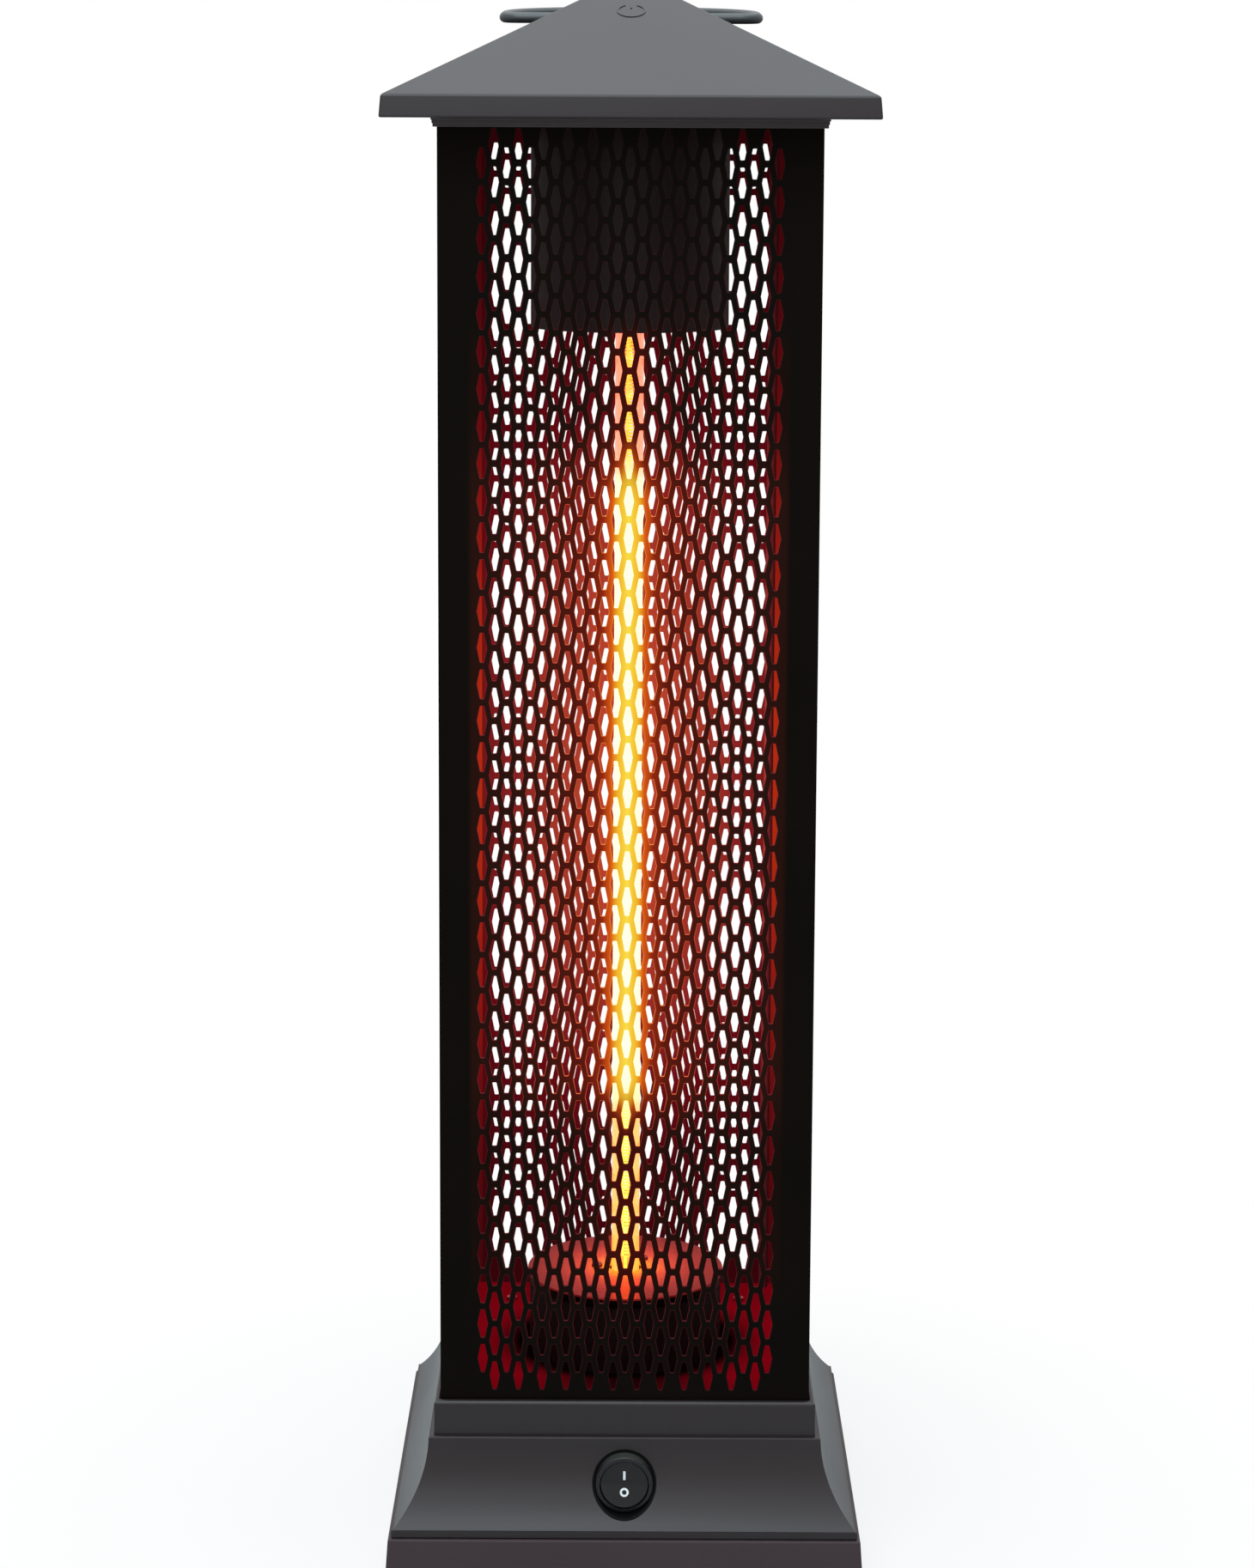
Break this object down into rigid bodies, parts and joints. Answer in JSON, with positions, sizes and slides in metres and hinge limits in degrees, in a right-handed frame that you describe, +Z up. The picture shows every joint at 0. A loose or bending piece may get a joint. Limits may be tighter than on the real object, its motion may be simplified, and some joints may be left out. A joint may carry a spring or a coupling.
{
  "type": "infrared patio heater tower",
  "caption": "Square lantern-shaped infrared heater tower: perforated steel body round an upright quartz lamp, stepped base with a rocker switch, pyramid roof with a folding bail.",
  "frame": {"origin": "floor level, on the vertical axis of the lamp", "axes": "+Z up, front with the rocker switch towards -Y, +X to the right when looking along +Y"},
  "size_m": [0.2326, 0.2326, 0.7796],
  "materials": {
    "satin_grey": "satin dark grey",
    "black_sheet": "matt black powder coat",
    "bright_disc": "bright rolled sheet",
    "rubber": "matt black",
    "zinc_screw": "zinc plated",
    "cast_weight": "raw",
    "black_plastic": "fine texture",
    "white_print": "printed",
    "brass_blade": "plain",
    "quartz": "clear quartz",
    "glowing_coil": "glowing when lit",
    "ceramic": "ceramic",
    "holder_steel": "pressed steel",
    "silicone": "white silicone",
    "glass_sleeve": "woven glass fibre",
    "painted_rod": "satin dark grey"
  },
  "bodies": {
    "heater": {"ballast_plate": "cast_weight", "base_cover": "satin_grey", "base_screws": "zinc_screw", "chamber_floor": "black_sheet", "cord_gland": "black_plastic", "cup_screws": "zinc_screw", "floor_screws": "zinc_screw", "foot_front_left": "rubber", "foot_front_right": "rubber", "foot_rear_left": "rubber", "foot_rear_right": "rubber", "front_grille": "black_sheet", "gland_nut": "black_plastic", "handle_bushes": "black_plastic", "holder_screws": "zinc_screw", "lamp_cap_lower": "ceramic", "lamp_cap_upper": "ceramic", "lamp_element": "glowing_coil", "lamp_holder_lower": "holder_steel", "lamp_holder_upper": "holder_steel", "lamp_tube": "quartz", "lead_lower": "silicone", "lead_switch": "silicone", "lead_tip": "silicone", "lead_upper": "silicone", "left_grille": "black_sheet", "lower_cup": "black_sheet", "lower_disc": "bright_disc", "plinth_tray": "satin_grey", "post_front_left": "black_sheet", "post_front_right": "black_sheet", "post_rear_left": "black_sheet", "post_rear_right": "black_sheet", "post_screws": "zinc_screw", "power_symbol": "satin_grey", "rear_grille": "black_sheet", "right_grille": "black_sheet", "roof_screws": "zinc_screw", "roof_shell": "satin_grey", "roof_soffit": "black_sheet", "switch_housing": "black_plastic", "switch_terminals": "brass_blade", "switch_well": "black_plastic", "terminal_block": "black_plastic", "terminal_screws": "zinc_screw", "tip_spring": "zinc_screw", "tip_switch_body": "black_plastic", "top_collar": "black_sheet", "upper_cup": "black_sheet", "wire_sleeve": "glass_sleeve"},
    "handle": {"handle_bail": "painted_rod", "handle_retainers": "painted_rod"},
    "rocker": {"switch_rocker": "black_plastic", "rocker_marks": "white_print"},
    "plunger": {"tip_plunger": "black_plastic"}
  },
  "joints": [
    {"name": "handle_swing", "type": "hinge", "parent": "heater", "child": "handle", "pos_m": [0, 0, 0.7597], "axis": [1, 0, 0], "range_deg": [0, 173]},
    {"name": "switch_rock", "type": "hinge", "parent": "heater", "child": "rocker", "pos_m": [0, -0.0993, 0.0524], "axis": [1, 0, 0], "range_deg": [0, 16]},
    {"name": "tip_plunge", "type": "slide", "parent": "heater", "child": "plunger", "axis": [0, 0, -1], "range_m": [0, 0.005], "stiffness_N_per_m": 100, "springref_m": 0.008, "deforming": ["tip_spring"]}
  ]
}
